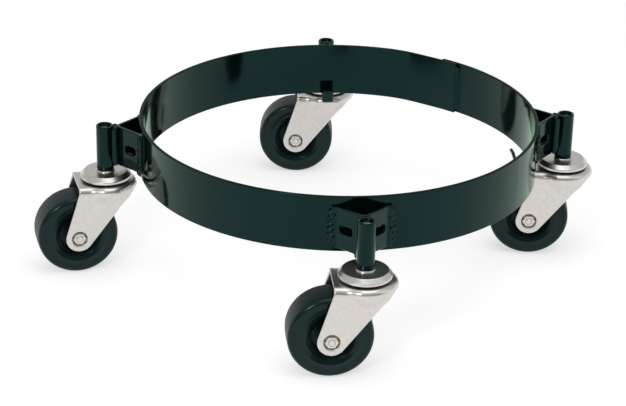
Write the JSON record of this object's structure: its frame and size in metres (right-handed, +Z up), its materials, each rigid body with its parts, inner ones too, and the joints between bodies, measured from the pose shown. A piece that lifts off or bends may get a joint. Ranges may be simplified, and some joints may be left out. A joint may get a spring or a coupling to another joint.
{
  "type": "drum trolley",
  "caption": "Low round drum trolley: a flat-bar hoop holds the drum's foot, carried on swivel casters in welded socket tubes.",
  "frame": {"origin": "on the hoop's axis at mid-height of its band", "axes": "+Z up along the hoop's axis; +X towards the caster called right, +Y towards the one called back"},
  "size_m": [0.526, 0.4869, 0.1468],
  "materials": {
    "black_paint": "glossy black enamel",
    "zinc_plate": "satin zinc plate",
    "bearing_steel": "hardened steel under a film of dark grease",
    "wheel_plastic": "moulded black plastic",
    "tyre_rubber": "hard black rubber"
  },
  "bodies": {
    "frame": {"hoop_band": "black_paint", "lap_welds": "black_paint", "bracket_welds": "black_paint", "socket_welds": "black_paint", "hook_welds": "black_paint", "grip_rings": "bearing_steel", "caster_bracket_right": "black_paint", "caster_bracket_back": "black_paint", "caster_bracket_left": "black_paint", "caster_bracket_front": "black_paint", "socket_tube_right": "black_paint", "socket_tube_back": "black_paint", "socket_tube_left": "black_paint", "socket_tube_front": "black_paint", "drum_hook_right": "black_paint", "drum_hook_back": "black_paint", "drum_hook_left": "black_paint", "drum_hook_front": "black_paint", "caster_stem_right": "zinc_plate", "caster_stem_back": "zinc_plate", "caster_stem_left": "zinc_plate", "caster_stem_front": "zinc_plate", "upper_race_right": "zinc_plate", "upper_race_back": "zinc_plate", "upper_race_left": "zinc_plate", "upper_race_front": "zinc_plate", "lower_race_right": "zinc_plate", "lower_race_back": "zinc_plate", "lower_race_left": "zinc_plate", "lower_race_front": "zinc_plate"},
    "swivel_right": {"fork_right": "zinc_plate", "swivel_balls_right": "bearing_steel", "axle_bolt_right": "zinc_plate", "axle_nut_right": "zinc_plate", "axle_sleeve_right": "zinc_plate"},
    "wheel_right": {"wheel_core_right": "wheel_plastic", "wheel_tyre_right": "tyre_rubber"},
    "swivel_back": {"fork_back": "zinc_plate", "swivel_balls_back": "bearing_steel", "axle_bolt_back": "zinc_plate", "axle_nut_back": "zinc_plate", "axle_sleeve_back": "zinc_plate"},
    "wheel_back": {"wheel_core_back": "wheel_plastic", "wheel_tyre_back": "tyre_rubber"},
    "swivel_left": {"fork_left": "zinc_plate", "swivel_balls_left": "bearing_steel", "axle_bolt_left": "zinc_plate", "axle_nut_left": "zinc_plate", "axle_sleeve_left": "zinc_plate"},
    "wheel_left": {"wheel_core_left": "wheel_plastic", "wheel_tyre_left": "tyre_rubber"},
    "swivel_front": {"fork_front": "zinc_plate", "swivel_balls_front": "bearing_steel", "axle_bolt_front": "zinc_plate", "axle_nut_front": "zinc_plate", "axle_sleeve_front": "zinc_plate"},
    "wheel_front": {"wheel_core_front": "wheel_plastic", "wheel_tyre_front": "tyre_rubber"}
  },
  "joints": [
    {"name": "right_swivel", "type": "hinge", "parent": "frame", "child": "swivel_right", "pos_m": [0.21481, 0.009, -0.034], "axis": [0, 0, 1], "continuous": true},
    {"name": "right_wheel_spin", "type": "hinge", "parent": "swivel_right", "child": "wheel_right", "pos_m": [0.18603, 0.01331, -0.0839], "axis": [-0.1478, -0.989, 0], "continuous": true},
    {"name": "back_swivel", "type": "hinge", "parent": "frame", "child": "swivel_back", "pos_m": [0.0105, 0.21474, -0.034], "axis": [0, 0, 1], "continuous": true},
    {"name": "back_wheel_spin", "type": "hinge", "parent": "swivel_back", "child": "wheel_back", "pos_m": [-0.01842, 0.21791, -0.0839], "axis": [-0.1089, -0.9941, 0], "continuous": true},
    {"name": "left_swivel", "type": "hinge", "parent": "frame", "child": "swivel_left", "pos_m": [-0.21498, 0.00263, -0.034], "axis": [0, 0, 1], "continuous": true},
    {"name": "left_wheel_spin", "type": "hinge", "parent": "swivel_left", "child": "wheel_left", "pos_m": [-0.24369, -0.00218, -0.0839], "axis": [0.165, -0.9863, 0], "continuous": true},
    {"name": "front_swivel", "type": "hinge", "parent": "frame", "child": "swivel_front", "pos_m": [0.00038, -0.215, -0.034], "axis": [0, 0, 1], "continuous": true},
    {"name": "front_wheel_spin", "type": "hinge", "parent": "swivel_front", "child": "wheel_front", "pos_m": [-0.02872, -0.21482, -0.0839], "axis": [-0.0061, -1, 0], "continuous": true}
  ]
}
